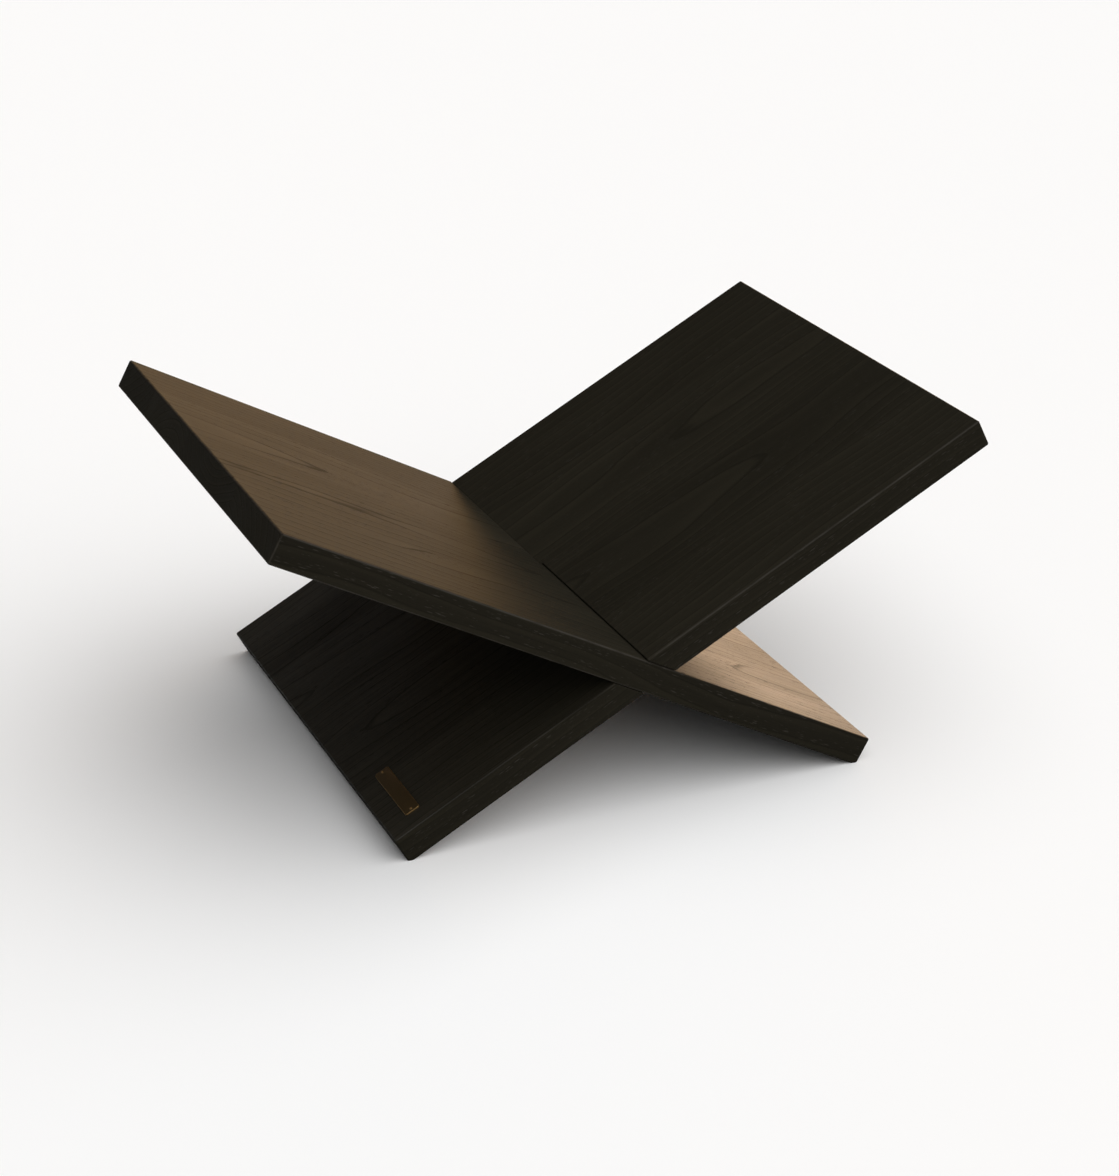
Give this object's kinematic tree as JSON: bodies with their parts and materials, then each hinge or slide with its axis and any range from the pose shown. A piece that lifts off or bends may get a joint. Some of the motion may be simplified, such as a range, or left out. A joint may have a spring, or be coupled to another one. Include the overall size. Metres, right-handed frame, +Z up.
{
  "type": "book holder",
  "caption": "X-shaped book holder: dark-stained boards cross in slanted half-lap slots, cradle an open book in their upper valley and slide apart for storage.",
  "frame": {"origin": "on the table under the middle of the crossing, at the centre of the footprint", "axes": "+X to the right across the arms, +Y from the front edges to the rear edges along the valley, +Z up"},
  "size_m": [0.5306, 0.35, 0.2536],
  "materials": {
    "stained_wood": "open-pored solid wood stained near black, thin satin lacquer",
    "aged_brass": "dull, browned, finely brushed"
  },
  "bodies": {
    "left_board": {"left_board_rear_stave_lower": "stained_wood", "left_board_rear_stave_upper": "stained_wood", "left_board_rear_inner_stave_lower": "stained_wood", "left_board_rear_inner_stave_upper": "stained_wood", "left_board_front_inner_stave": "stained_wood", "left_board_front_stave": "stained_wood"},
    "right_board": {"right_board_front_stave_lower": "stained_wood", "right_board_front_stave_upper": "stained_wood", "right_board_front_inner_stave_lower": "stained_wood", "right_board_front_inner_stave_upper": "stained_wood", "right_board_rear_inner_stave": "stained_wood", "right_board_rear_stave": "stained_wood", "name_plate": "aged_brass", "name_plate_pins": "aged_brass"}
  },
  "joints": [
    {"name": "boards_apart", "type": "slide", "parent": "left_board", "child": "right_board", "axis": [0, 1, 0], "range_m": [0, 0.175]}
  ]
}
